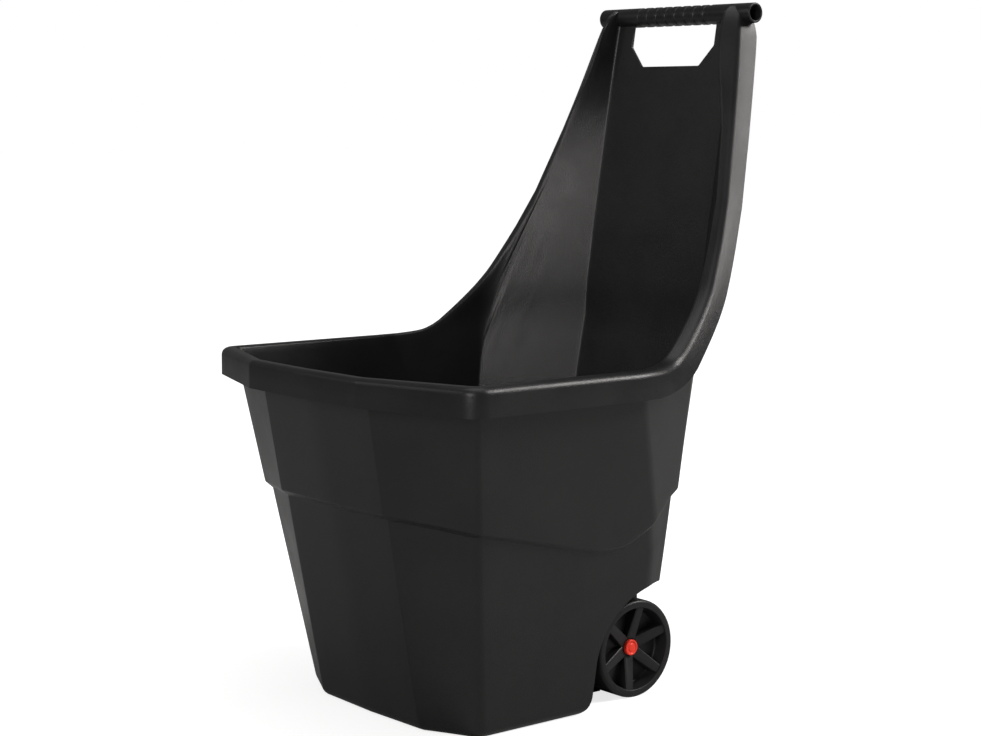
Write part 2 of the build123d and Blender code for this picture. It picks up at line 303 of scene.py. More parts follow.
@dataclass
class Tub:
    """The one-piece moulding: faceted tub, turned-down rim, scoop back with hand hole, and tube handle."""

    # wall, base and rounded corners in plan, from the nose to the back
    wall: float = 3.0
    rim_z: float = 416.0
    bow: float = 3.5
    base_round: float = 12.0
    floor_inset: float = 2.2
    corner_rounds: tuple[float, ...] = (14.0, 18.0, 40.0, 10.0, 8.0)
    corner_tighten: float = 0.4
    shoulder_round: float = 60.0
    shoulder_rise: tuple[float, float] = (380.0, 100.0)
    # moulded step and rim
    step_in: float = 7.0
    step_high: float = 7.0
    step_rounds: tuple[float, float] = (2.5, 3.5)
    step_side_z: float = 215.0
    skirt: float = 33.0
    rim_w: float = 13.4
    rim_extra_w: float = 3.4
    rim_widens: tuple[float, float] = (104.0, 134.0)
    skirt_flare: tuple[float, float] = (2.0, 3.0)
    flare_rise: tuple[float, float] = (440.0, 380.0)
    skirt_end: float = 0.65
    back_limit: float = 296.5
    inner_edge: float = 0.8
    outer_edge: float = 8.0
    # number of points in the runs, arcs and rows of the mesh
    corner_steps: tuple[int, ...] = (6, 8, 8, 8, 8)
    run_points: tuple[int, ...] = (4, 7, 14, 12, 22, 10)
    lower_rows: int = 6
    upper_rows: int = 20
    # hand hole, and tube handle with its ribs
    hole: tuple[tuple[float, float], ...] = ((75.0, 818.0), (75.0, 789.0), (52.0, 764.0))
    hole_round: float = 4.0
    hole_from: float = 240.0
    hole_deep: float = 100.0
    tube_r: float = 12.5
    tube_bore: float = 9.5
    tube_half: float = 136.0
    tube_at: tuple[float, float] = (287.5, 827.5)
    grip_half: float = 72.0
    rib_count: int = 9
    rib_w: float = 8.0
    rib_high: float = 0.7
    rib_slope: float = 1.0
    rib_rounds: tuple[float, float] = (0.5, 0.4)
    tube_rounds: tuple[float, float] = (1.0, 1.2)
    # wheel wells and axle channel
    axle_at: tuple[float, float] = (93.0, 60.0)
    arch_r: float = 90.0
    well_x: float = 97.0
    channel_half: float = 15.0
    channel_top: float = 69.0
    channel_x: float = 150.0
    foot_round: float = 22.0
    heel_round: float = 18.0
    heel_overlap: float = 10.0
    back_y: float = 138.0
    heel_y: float = 158.0
    cut_x: float = 220.0
    cut_y: float = 200.0
    cut_below: float = -20.0
    cut_over: float = 10.0
    core_rows: tuple[float, ...] = (0.5, 4.0, 12.0, 60.0, 130.0, 190.0)
    core_gap: float = 0.5
    sections: list[Section] = field(default_factory=lambda: [
        Section(0, (98, -206), (170, -169), (170, 80), (161, 98), (106.5, 159)),
        Section(200, (101, -244.6), (203, -201), (202.9, 70), (192, 103), (106.5, 188)),
        Section(416, (104, -283), (238.4, -234), (238.4, 10), (200, 129), (106.5, 227)),
        Section(480, (104, -283), (238.4, -234), (236, 12), (197, 140), (106.5, 234)),
        Section(520, (104, -283), (238.4, -234), (235, 24), (191, 155), (106.5, 240)),
        Section(600, (104, -283), (238.4, -234), (226, 60), (178, 187), (106.5, 252)),
        Section(700, (104, -283), (238.4, -234), (200, 110), (150, 220), (106.5, 267)),
        Section(760, (104, -283), (238.4, -234), (160, 140), (124, 234), (106.5, 276)),
        Section(845, (104, -283), (238.4, -234), (110, 150), (100, 240), (106.5, 289)),
    ])
    # height, y of the inner edge, x and y of the outer edge, and depth of the skirt
    rim_sweep: tuple[tuple[float, float, float, float, float], ...] = (
        (416.0, -4.0, 255.0, -4.0, 33.0),
        (417.3, 24.0, 249.0, 33.0, 33.0),
        (423.0, 53.0, 236.5, 66.0, 31.0),
        (440.0, 81.0, 230.0, 89.0, 29.0),
        (480.0, 124.0, 215.5, 129.0, 28.0),
        (520.0, 153.0, 202.5, 156.0, 28.0),
        (600.0, 195.0, 178.5, 197.0, 28.0),
        (700.0, 228.0, 152.5, 233.0, 29.0),
        (790.0, 250.0, 131.5, 261.0, 30.0),
        (815.0, 257.0, 125.5, 269.0, 28.0),
        (830.0, 265.0, 120.0, 277.0, 22.0),
        (837.0, 275.0, 112.0, 284.0, 14.0),
        (838.5, 289.0, 101.0, 288.0, 8.0),
    )
    # y and height of the moulded step seen from the side
    step_line: tuple[tuple[float, float], ...] = (
        (-290.0, 257.0), (-262.0, 256.0), (-197.0, 243.0), (-126.0, 227.0), (-60.0, 211.0), (-10.0, 202.0),
        (18.0, 203.0), (47.0, 215.0), (67.0, 231.0), (95.0, 252.0), (150.0, 276.0), (210.0, 280.0),
    )

    def corners_at(self, z: float) -> list[Vector]:
        """Corners of the right half of the wall at a height.

        Args:
            z: the height.

        Returns:
            The five corners, from the nose to the back panel.
        """
        heights = [s.z for s in self.sections]
        k = max(i for i in range(len(heights) - 1) if heights[i] <= max(z, 0.0))
        at = k + (z - heights[k]) / (heights[k + 1] - heights[k])
        if z <= self.rim_z:
            below, above = self.sections[k].corners(), self.sections[min(k + 1, 2)].corners()
            return [a.lerp(b, at - k) for a, b in zip(below, above)]
        rows = [s.corners() for s in self.sections]
        return [catmull([row[i] for row in rows], at) for i in range(len(rows[0]))]

    def half_plan(self, z: float, inset: float) -> list[Vector]:
        """Right half of the wall's outline at a height, with rounded corners.

        Args:
            z: the height.
            inset: how far inside the outer face of the upper wall.

        Returns:
            The points from the middle of the nose to the middle of the back panel.
        """
        corners = self.corners_at(z)
        nose = Vector((0.0, corners[0].y - self.bow, 0.0))
        back = Vector((0.0, corners[4].y, 0.0))
        chain = [nose] + corners + [back]
        left = [Vector((-p.x, p.y, 0.0)) for p in chain]
        ring = [left[1]] + chain + [left[-2]]
        moved = []
        for before, here, after in zip(ring, ring[1:], ring[2:]):
            out_a = Vector(((here - before).y, -(here - before).x, 0.0)).normalized()
            out_b = Vector(((after - here).y, -(after - here).x, 0.0)).normalized()
            moved.append(here - (out_a + out_b) * (inset / (1 + out_a.dot(out_b))))
        tighten = 1.0 - self.corner_tighten * eased(z, 0.0, self.rim_z)
        rounds = [r * tighten if i < 2 else r for i, r in enumerate(self.corner_rounds)]
        rounds[3] += self.shoulder_round * eased(z, *self.shoulder_rise)
        arcs = [
            rounded(moved[i + 1], moved[i], moved[i + 2], rounds[i], self.corner_steps[i])
            for i in range(len(corners))
        ]
        found = [moved[0]] + along(moved[0], arcs[0][0], self.run_points[0])
        for i, arc in enumerate(arcs):
            after = arcs[i + 1][0] if i + 1 < len(arcs) else moved[-1]
            found += arc + along(arc[-1], after, self.run_points[i + 1])
        return [Vector((p.x, p.y, z)) for p in found + [moved[-1]]]

    def wall_point(self, column: int, z: float, inset: float = 0.0) -> Vector:
        """Point of the wall's outer face in one column of the outline, at a height."""
        key = (round(z, 3), inset)
        if key not in self._plans:
            self._plans[key] = self.half_plan(*key)
        return self._plans[key][column]

    def step_at(self, y: float) -> float:
        """Height of the moulded step at a distance from the nose."""
        line = self.step_line
        k = max([i for i in range(len(line) - 1) if line[i][0] <= y] or [0])
        share = min(max((y - line[k][0]) / (line[k + 1][0] - line[k][0]), 0.0), 1.0)
        return catmull([Vector((a, b, 0.0)) for a, b in line], k + share).y

    def rim_at(self, at: float) -> tuple[Vector, Vector, Vector, float]:
        """Inner edge, outer edge, facing direction and skirt depth at a place on the rising rim.

        Args:
            at: place on the rim, counted in rows of rim_sweep.

        Returns:
            The inner edge (its x is 0), the outer edge, the direction that the rim faces and the depth.
        """
        inner = [Vector((0.0, row[1], row[0])) for row in self.rim_sweep]
        outer = [Vector((row[2], row[3], row[0])) for row in self.rim_sweep]
        depth = [Vector((row[4], 0.0, 0.0)) for row in self.rim_sweep]
        ahead = catmull(outer, at + 0.1) - catmull(outer, at - 0.1)
        facing = Vector((0.0, -ahead.z, ahead.y)).normalized()
        if at <= 0:
            facing = Vector((0.0, 0.0, 1.0))
        return catmull(inner, at), catmull(outer, at), facing, catmull(depth, at).x

    def rim_place(self, column: int) -> float:
        """Place on the rising rim where a column of the wall meets it, 0 on the level part."""
        low, high = 0.0, float(len(self.rim_sweep) - 1)

        def beyond(at: float) -> float:
            inner, _, facing, _ = self.rim_at(at)
            edge = inner - facing * self.wall
            return self.wall_point(column, edge.z).y - edge.y

        if beyond(low) <= 0:
            return 0.0
        for _ in range(30):
            middle = (low + high) / 2
            if beyond(middle) > 0:
                low = middle
            else:
                high = middle
        return (low + high) / 2

    def column_profile(self, column: int) -> list[Vector]:
        """Profile of one column: floor, wall, step, upper wall, under the rim and down inside the skirt.

        Args:
            column: index of the column in the outline.

        Returns:
            The points in order.
        """
        place = self.rim_place(column)
        inner, outer, facing, depth = self.rim_at(place)
        top_z = (inner - facing * self.wall).z
        top = self.wall_point(column, top_z)
        if place <= 0:
            outward = self.outward(column, top_z)
            width = self.rim_w + self.rim_extra_w * eased(top.x, *self.rim_widens)
            corner = top + outward * (width - self.wall)
            bottom = corner - Vector((0.0, 0.0, self.skirt - self.wall))
        else:
            corner = outer - facing * self.wall - Vector((self.wall, 0.0, 0.0))
            bottom = corner - facing * (depth - self.wall)
            least, more = self.skirt_flare
            bottom.x += least + more * eased(top_z, *self.flare_rise) if place > 2 else place
            bottom.y = min(bottom.y, self.back_limit)
        first_z = self.step_at(top.y if top.y < 0 else self.wall_point(column, self.step_side_z).y)
        step_z = self.step_at(self.wall_point(column, first_z).y)
        ledge = self.step_high / 2
        low = self.wall_point(column, step_z - ledge, self.step_in)
        high = self.wall_point(column, step_z + ledge)
        base = self.wall_point(column, 0.0, self.step_in)
        floor = self.wall_point(column, 0.0, self.step_in + self.floor_inset * self.base_round)
        lower = [
            self.wall_point(column, (step_z - ledge) * ((i + 1) / (self.lower_rows + 1)), self.step_in)
            for i in range(self.lower_rows)
        ]
        rise = (top_z - step_z - ledge) / (self.upper_rows + 1)
        upper = [self.wall_point(column, step_z + ledge + rise * (i + 1)) for i in range(self.upper_rows)]
        found = [floor] + rounded(base, floor, lower[0], self.base_round, 5) + lower
        found += rounded(low, lower[-1], high, self.step_rounds[0], 3)
        found += rounded(high, low, upper[0], self.step_rounds[1], 3) + upper
        found += rounded(top, upper[-1], corner, self.inner_edge, 4)
        edge = min(self.outer_edge, (bottom - corner).length * 0.9, (top - corner).length * 0.8)
        found += rounded(corner, top, bottom, edge, 6)
        return found + [corner.lerp(bottom, self.skirt_end), bottom]

    def outward(self, column: int, z: float) -> Vector:
        """Direction out of the wall in plan at one column."""
        if column == 0:
            return Vector((0.0, -1.0, 0.0))
        last = len(self.half_plan(z, 0.0)) - 1
        before = self.wall_point(column - 1, z)
        after = self.wall_point(min(column + 1, last), z)
        way = (after - before).normalized()
        return Vector((way.y, -way.x, 0.0))

    def skin(self) -> bmesh.types.BMesh:
        """Outer skin of the whole moulding, as one open sheet bridged from ring to ring.

        Returns:
            The sheet, closed at the floor.
        """
        self._plans: dict[tuple[float, float], list[Vector]] = {}
        half = [self.column_profile(i) for i in range(len(self.half_plan(0.0, 0.0)))]
        bm = bmesh.new()
        rings = [whole_ring(bm, list(row)) for row in zip(*half)]
        for lower, upper in zip(rings, rings[1:]):
            bmesh.ops.bridge_loops(bm, edges=lower + upper)
        bmesh.ops.contextual_create(bm, geom=rings[0])
        bmesh.ops.recalc_face_normals(bm, faces=bm.faces)
        floor = max(bm.faces, key=lambda face: len(face.verts))
        if floor.normal.z > 0:
            bmesh.ops.reverse_faces(bm, faces=bm.faces)
        return bm

    def well_cutter(self, grow: float) -> bpy.types.Object:
        """Closed shape of both wheel wells and the axle channel.

        Args:
            grow: how much wider the shape is than the open space.

        Returns:
            The shape as an object.
        """
        y, z = self.axle_at
        top = z + self.arch_r
        half = self.channel_half + grow
        below, behind = self.cut_below, y + self.cut_y
        wide = (-self.cut_x, self.cut_x)
        wider = (wide[0] - self.cut_over, wide[1] + self.cut_over)
        channel = (-self.channel_x, self.channel_x)
        shape = self.block(channel, (y - half, y + half), (below, self.channel_top + grow))
        combine(shape, self.block(wide, (self.back_y - grow, behind), (below, top + grow)), "UNION")
        heel_z = top + self.heel_round
        heel = self.block(wide, (self.heel_y, behind), (top - self.heel_overlap, heel_z))
        combine(heel, self.drum(wider, (self.heel_y, heel_z), self.heel_round - grow), "DIFFERENCE")
        combine(shape, heel, "UNION")
        foot_at = (y - self.arch_r - self.foot_round, self.foot_round)
        for side in Side:
            xs = (side.value * (self.well_x - grow), side.value * wider[1])
            combine(shape, self.drum(xs, self.axle_at, self.arch_r + grow), "UNION")
            combine(shape, self.block(xs, (y - self.arch_r - grow, y + self.arch_r), (below, z)), "UNION")
            combine(shape, self.block(xs, (y, behind), (below, top + grow)), "UNION")
            foot = self.block(xs, (foot_at[0], y), (below, self.foot_round))
            through = (wider[0] - self.cut_over, wider[1] + self.cut_over)
            combine(foot, self.drum(through, foot_at, self.foot_round - grow), "DIFFERENCE")
            combine(shape, foot, "UNION")
        return shape

    @staticmethod
    def drum(xs: tuple[float, float], at: tuple[float, float], radius: float) -> bpy.types.Object:
        """Round bar along X, used only to cut or to trim.

        Args:
            xs: where it starts and ends.
            at: y and z of its middle.
            radius: its radius.

        Returns:
            The bar as an object.
        """
        bm = bmesh.new()
        bmesh.ops.create_circle(bm, cap_ends=True, radius=radius, segments=96)
        bmesh.ops.rotate(bm, cent=(0, 0, 0), matrix=Matrix.Rotation(math.radians(90), 3, "Y"), verts=bm.verts)
        bmesh.ops.translate(bm, vec=(xs[0], *at), verts=bm.verts)
        draw_out(bm, (xs[1] - xs[0], 0, 0))
        return to_object(bm, "drum")

    @staticmethod
    def block(xs: tuple[float, float], ys: tuple[float, float], zs: tuple[float, float]) -> bpy.types.Object:
        """Plain box between two corners, used only to cut or to trim."""
        bm = bmesh.new()
        bmesh.ops.create_cube(bm, size=1.0)
        size = (abs(xs[1] - xs[0]), ys[1] - ys[0], zs[1] - zs[0])
        bmesh.ops.scale(bm, vec=size, verts=bm.verts)
        middle = (sum(xs) / 2, sum(ys) / 2, sum(zs) / 2)
        bmesh.ops.translate(bm, vec=middle, verts=bm.verts)
        return to_object(bm, "block")

    def lower_core(self) -> bpy.types.Object:
        """Closed shape of the lower tub, half a millimetre inside its outer face."""
        bm = bmesh.new()
        rings = []
        for z in self.core_rows:
            fall = max(self.base_round - z, 0.0)
            edge = self.base_round - math.sqrt(self.base_round ** 2 - fall ** 2)
            rings.append(whole_ring(bm, self.half_plan(z, self.step_in + self.core_gap + edge)))
        for lower, upper in zip(rings, rings[1:]):
            bmesh.ops.bridge_loops(bm, edges=lower + upper)
        for ring in (rings[0], rings[-1]):
            bmesh.ops.contextual_create(bm, geom=ring)
        return to_object(bm, "lower_core")

    def open_wells(self, shell: bpy.types.Object) -> None:
        """Cuts the wheel wells and axle channel out of the shell and gives them walls.

        Args:
            shell: the solid-walled moulding.
        """
        combine(shell, self.well_cutter(0.0), "DIFFERENCE")
        liner = self.well_cutter(self.wall)
        combine(liner, self.well_cutter(0.0), "DIFFERENCE")
        combine(liner, self.lower_core(), "INTERSECT")
        combine(shell, liner, "UNION")

    def open_hand_hole(self, shell: bpy.types.Object) -> None:
        """Cuts the hand hole through the back panel.

        Args:
            shell: the solid-walled moulding.
        """
        right = [Vector((x, 0.0, z)) for x, z in self.hole]
        corners = right + [Vector((-p.x, 0.0, p.z)) for p in reversed(right)]
        bm = bmesh.new()
        ring = []
        for i, here in enumerate(corners):
            before, after = corners[i - 1], corners[(i + 1) % len(corners)]
            ring += [bm.verts.new(p) for p in rounded(here, before, after, self.hole_round, 5)]
        bm.faces.new(ring)
        bmesh.ops.translate(bm, vec=(0, self.hole_from, 0), verts=bm.verts)
        draw_out(bm, (0, self.hole_deep, 0))
        combine(shell, to_object(bm, "hand_hole"), "DIFFERENCE")

    def handle(self) -> bpy.types.Object:
        """Tube handle with grip ribs, open at both ends.

        Returns:
            The tube, in place.
        """
        plain = self.tube_r
        groove = plain - self.rib_high
        slope = self.rib_slope
        crest, root = self.rib_rounds
        bore_round, end_round = self.tube_rounds
        corners = [(-self.tube_half, self.tube_bore, bore_round), (-self.tube_half, plain, end_round)]
        gap = (2 * self.grip_half - self.rib_count * self.rib_w) / (self.rib_count - 1)
        for i in range(self.rib_count - 1):
            start = -self.grip_half + self.rib_w + i * (self.rib_w + gap)
            corners += [(start, plain, crest), (start + slope, groove, root)]
            corners += [(start + gap - slope, groove, root), (start + gap, plain, crest)]
        corners += [(self.tube_half, plain, end_round), (self.tube_half, self.tube_bore, bore_round)]
        bm = turned(rounded_profile(corners, 3), 64)
        bmesh.ops.translate(bm, vec=(0, *self.tube_at), verts=bm.verts)
        return to_object(bm, "handle")

    def build(self) -> bpy.types.Object:
        """Makes the whole moulding.

        Returns:
            The finished tub.
        """
        tub = to_object(self.skin(), "tub_moulding", closed=False)
        thick = tub.modifiers.new("wall", "SOLIDIFY")
        thick.thickness = self.wall * MM
        thick.offset = -1.0
        thick.use_even_offset = False
        thick.use_quality_normals = True
        settle(tub)
        self.open_wells(tub)
        self.open_hand_hole(tub)
        combine(tub, self.handle(), "UNION")
        return tub

    def dress(self, tub: bpy.types.Object, finish: "MouldedPlastic") -> None:
        """Gives the moulding its finish and ties it to the frame.

        Args:
            tub: the moulding.
            finish: its plastic.
        """
        soften(tub)
        tub.data.materials.clear()
        tub.data.materials.append(finish.material())
        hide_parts("tub")
        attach(tub, "cart")


# ---- wheels ------------------------------------------------------------------------------


@dataclass
class Wheel:
    """One moulded wheel: rounded tyre ring, middle web, hub and six spokes on each face, with its red cap."""

    side: Side
    centre: tuple[float, float] = (93.0, 60.0)
    face: float = 145.0
    width: float = 42.0
    radius: float = 60.0
    ring_r: float = 50.5
    hub_r: float = 15.0
    hub_out: float = 131.0
    hub_in: float = 101.0
    bore_r: float = 5.05
    web: tuple[float, float] = (120.0, 127.0)
    spoke_count: int = 6
    spoke_w: float = 12.5
    spoke_turn: float = 21.0
    spoke_root: float = 8.5
    spoke_overlap: float = 3.0
    spoke_sunk: float = 1.2
    spoke_round: float = 1.6
    spoke_taper: tuple[float, float] = (1.15, 0.92)
    draft: float = 3.0
    tyre_round: float = 4.0
    ring_round: float = 1.2
    cap_r: float = 9.6
    cap_face: float = 137.0
    cap_back: float = 132.4
    cap_gap: float = 1.6
    pin_r: float = 5.0

    def place(self, bm: bmesh.types.BMesh) -> None:
        """Moves a shape turned about the X axis onto the axle, mirrored for the left side."""
        bmesh.ops.translate(bm, vec=(0, *self.centre), verts=bm.verts)
        bmesh.ops.scale(bm, vec=(self.side.value, 1, 1), verts=bm.verts)

    def body(self) -> bpy.types.Object:
        """Ring, web and hub, turned in one.

        Returns:
            The body as an object.
        """
        back = self.face - self.width
        ring_foot = self.ring_r - self.draft
        hub_foot = self.hub_r + self.draft / 2
        outline = [
            (self.hub_out, self.bore_r, 0), (self.hub_out, self.hub_r, 1.5), (self.web[1], hub_foot, 2.0),
            (self.web[1], ring_foot, 2.5), (self.face, self.ring_r, self.ring_round),
            (self.face, self.radius, self.tyre_round), (back, self.radius, self.tyre_round),
            (back, self.ring_r, self.ring_round), (self.web[0], ring_foot, 2.5),
            (self.web[0], hub_foot, 2.0), (self.hub_in, self.hub_r, 1.5), (self.hub_in, self.bore_r, 0),
        ]
        bm = turned(rounded_profile(outline, 5), 96)
        self.place(bm)
        return to_object(bm, "wheel_body")

    def spoke(self, angle: float, outer: bool) -> bpy.types.Object:
        """One spoke that slopes from the ring down to the hub.

        Args:
            angle: its direction round the axle, in degrees.
            outer: on the outer face or on the inner one.

        Returns:
            The spoke as an object.
        """
        root, tip = self.spoke_root, self.ring_r + self.spoke_overlap
        if outer:
            foot, at_hub, at_ring = self.web[1] - 3, self.cap_back + 0.8, self.face - self.spoke_sunk
        else:
            foot, at_hub = self.web[0] + 3, self.hub_in + 1
            at_ring = self.face - self.width + self.spoke_sunk
        wide, narrow = self.spoke_taper
        bm = bmesh.new()
        bmesh.ops.create_cube(bm, size=1.0)
        bmesh.ops.scale(bm, vec=(1.0, tip - root, self.spoke_w), verts=bm.verts)
        bmesh.ops.translate(bm, vec=(0, (tip + root) / 2, 0), verts=bm.verts)
        for v in bm.verts:
            at_tip = v.co.y > (tip + root) / 2
            buried = (v.co.x < 0) == outer
            v.co.x = foot if buried else at_ring if at_tip else at_hub
            v.co.z *= (narrow if at_tip else wide) * (wide if buried else 1.0)
        bmesh.ops.bevel(
            bm, geom=bm.edges[:], offset=self.spoke_round, affect="EDGES", segments=3, profile=0.5,
            material=-1,
        )
        turn = Matrix.Rotation(math.radians(angle), 3, "X")
        bmesh.ops.rotate(bm, cent=(0, 0, 0), matrix=turn, verts=bm.verts)
        self.place(bm)
        return to_object(bm, "spoke")

    def build(self) -> bpy.types.Object:
        """Makes the whole wheel.

        Returns:
            The finished wheel.
        """
        wheel = self.body()
        for i in range(self.spoke_count):
            angle = self.spoke_turn + i * 360.0 / self.spoke_count
            for outer in (True, False):
                combine(wheel, self.spoke(angle, outer), "UNION")
        combine(wheel, self.pin(self.hub_in - 5, self.bore_r, 48), "DIFFERENCE")
        combine(wheel, self.pin(self.hub_out, self.cap_r + self.cap_gap, 64), "DIFFERENCE")
        wheel.name = f"{self.side.word}_wheel"
        return wheel

    def pin(self, start: float, radius: float, steps: int) -> bpy.types.Object:
        """Round bar on the axle's line out to the wheel's face, used only to cut.

        Args:
            start: x where it begins.
            radius: its radius.
            steps: segments round it.

        Returns:
            The bar as an object.
        """
        bm = turned([(start, radius), (self.face, radius), (self.face, NEAR_AXIS), (start, NEAR_AXIS)], steps)
        self.place(bm)
        return to_object(bm, "pin")

    def cap(self) -> bpy.types.Object:
        """Red cap over the end of the axle, with a raised ring and a raised middle.

        Returns:
            The cap as an object.
        """
        top, sunk, under = self.cap_face - 0.1, self.cap_face - 0.8, self.cap_face - 1.6
        outline = [
            (self.cap_back, self.pin_r, 0), (self.cap_back, self.cap_r, 0.3),
            (self.cap_face, self.cap_r, 1.1), (self.cap_face, self.cap_r - 2.0, 0.5),
            (sunk, self.cap_r - 2.8, 0.5), (sunk, 5.2, 0.4),
            (top, 4.2, 0.6), (top, NEAR_AXIS, 0), (under, NEAR_AXIS, 0), (under, self.pin_r, 0),
        ]
        bm = turned(rounded_profile(outline, 4), 64)
        self.place(bm)
        return to_object(bm, f"{self.side.word}_cap")

    def dress(
        self, wheel: bpy.types.Object, cap: bpy.types.Object, plastic: "MouldedPlastic", red: "MouldedPlastic"
    ) -> None:
        """Gives the wheel and its cap their finishes and ties them to the frame.

        Args:
            wheel: the wheel.
            cap: its cap.
            plastic: the wheel's plastic.
            red: the cap's plastic.
        """
        for piece, finish, node, slot, body in (
            (wheel, plastic, f"wheel_{self.side.word}", Slot.WHEEL, f"{self.side.word}_wheel"),
            (cap, red, f"cap_{self.side.word}", Slot.CAP, "cart"),
        ):
            soften(piece)
            piece.data.materials.clear()
            piece.data.materials.append(finish.material())
            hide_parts(node)
            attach(piece, body)


# ---- finishes ----------------------------------------------------------------------------


class Surface:
    """Shader node groups that more than one finish uses, each built once."""

    made: dict[str, bpy.types.ShaderNodeTree] = {}

    @staticmethod
    def group(
        name: str, inputs: dict[str, float], outputs: tuple[str, ...]
    ) -> tuple[bpy.types.ShaderNodeTree, bpy.types.Node, bpy.types.Node]:
        """Starts a node group with a Vector input, number inputs and number outputs.

        Args:
            name: the group's name.
            inputs: names and first values of the number inputs.
            outputs: names of the outputs.

        Returns:
            The tree, its input node and its output node.
        """
        tree = bpy.data.node_groups.new(name, "ShaderNodeTree")
        tree.interface.new_socket("Vector", in_out="INPUT", socket_type="NodeSocketVector")
        for key, value in inputs.items():
            socket = tree.interface.new_socket(key, in_out="INPUT", socket_type="NodeSocketFloat")
            socket.default_value = value
        for key in outputs:
            tree.interface.new_socket(key, in_out="OUTPUT", socket_type="NodeSocketFloat")
        return tree, tree.nodes.new("NodeGroupInput"), tree.nodes.new("NodeGroupOutput")

    @staticmethod
    def noise(
        tree: bpy.types.ShaderNodeTree, vector: bpy.types.NodeSocket, scale: float | bpy.types.NodeSocket,
        detail: float = 2.0, roughness: float = 0.5,
    ) -> bpy.types.NodeSocket:
        """Adds a noise texture.

        Args:
            tree: the material's or group's tree.
            vector: where the pattern is read.
            scale: its scale, as a number or a socket.
            detail: its number of finer layers.
            roughness: strength of the finer layers.

        Returns:
            Its value.
        """
        node = tree.nodes.new("ShaderNodeTexNoise")
        node.inputs["Detail"].default_value = detail
        node.inputs["Roughness"].default_value = roughness
        tree.links.new(vector, node.inputs["Vector"])
        if isinstance(scale, float):
            node.inputs["Scale"].default_value = scale
        else:
            tree.links.new(scale, node.inputs["Scale"])
        return node.outputs["Fac"]

    @staticmethod
    def math(
        tree: bpy.types.ShaderNodeTree, operation: str, *values: float | bpy.types.NodeSocket
    ) -> bpy.types.NodeSocket:
        """Adds a Math node.

        Args:
            tree: the material's or group's tree.
            operation: what it works out.
            values: its numbers or sockets, in order.

        Returns:
            Its value.
        """
        node = tree.nodes.new("ShaderNodeMath")
        node.operation = operation
        for socket, value in zip(node.inputs, values):
            if isinstance(value, (int, float)):
                socket.default_value = value
            else:
                tree.links.new(value, socket)
        return node.outputs[0]

    @staticmethod
    def ramp(
        tree: bpy.types.ShaderNodeTree, value: bpy.types.NodeSocket, low: float, high: float,
        to_low: float = 0.0, to_high: float = 1.0,
    ) -> bpy.types.NodeSocket:
        """Maps a value smoothly from one range to another.

        Args:
            tree: the material's or group's tree.
            value: the value.
            low: start of its range.
            high: end of its range.
            to_low: start of the new range.
            to_high: end of the new range.

        Returns:
            The mapped value.
        """
        node = tree.nodes.new("ShaderNodeMapRange")
        node.interpolation_type = "SMOOTHSTEP"
        tree.links.new(value, node.inputs["Value"])
        for key, number in (("From Min", low), ("From Max", high), ("To Min", to_low), ("To Max", to_high)):
            node.inputs[key].default_value = number
        return node.outputs["Result"]

    @staticmethod
    def tones(
        tree: bpy.types.ShaderNodeTree, share: bpy.types.NodeSocket,
        first: tuple[float, float, float], second: tuple[float, float, float],
    ) -> bpy.types.NodeSocket:
        """Mixes two colours.

        Args:
            tree: the material's tree.
            share: how much of the second colour shows.
            first: one colour.
            second: the other colour.

        Returns:
            The mixed colour.
        """
        node = tree.nodes.new("ShaderNodeMix")
        node.data_type = "RGBA"
        node.inputs["A"].default_value = (*first, 1.0)
        node.inputs["B"].default_value = (*second, 1.0)
        tree.links.new(share, node.inputs["Factor"])
        return node.outputs["Result"]

    @staticmethod
    def relief(
        tree: bpy.types.ShaderNodeTree, height: bpy.types.NodeSocket, strength: float, depth: float
    ) -> bpy.types.NodeSocket:
        """Turns a height into a bumped normal.

        Args:
            tree: the material's tree.
            height: the height.
            strength: how strongly it shows.
            depth: how deep it is, in metres.

        Returns:
            The normal.
        """
        node = tree.nodes.new("ShaderNodeBump")
        node.inputs["Strength"].default_value = strength
        node.inputs["Distance"].default_value = depth
        tree.links.new(height, node.inputs["Height"])
        return node.outputs["Normal"]

    @classmethod
    def grain(cls) -> bpy.types.ShaderNodeTree:
        """Fine pebble grain of a textured mould: a height and a slow mottle.

        Returns:
            The node group.
        """
        if "moulded_grain" not in cls.made:
            scales = {"Scale": 900.0, "Mottle Scale": 14.0}
            tree, given, put = cls.group("moulded_grain", scales, ("Height", "Mottle"))
            cells = tree.nodes.new("ShaderNodeTexVoronoi")
            cells.feature = "SMOOTH_F1"
            cells.inputs["Smoothness"].default_value = 0.6
            tree.links.new(given.outputs["Vector"], cells.inputs["Vector"])
            tree.links.new(given.outputs["Scale"], cells.inputs["Scale"])
            finer = cls.math(tree, "MULTIPLY", given.outputs["Scale"], 2.3)
            fine = cls.noise(tree, given.outputs["Vector"], finer)
            height = cls.math(tree, "ADD", cells.outputs["Distance"], cls.math(tree, "MULTIPLY", fine, 0.6))
            tree.links.new(height, put.inputs["Height"])
            mottle = cls.noise(tree, given.outputs["Vector"], given.outputs["Mottle Scale"], 5.0, 0.6)
            tree.links.new(mottle, put.inputs["Mottle"])
            cls.made["moulded_grain"] = tree
        return cls.made["moulded_grain"]

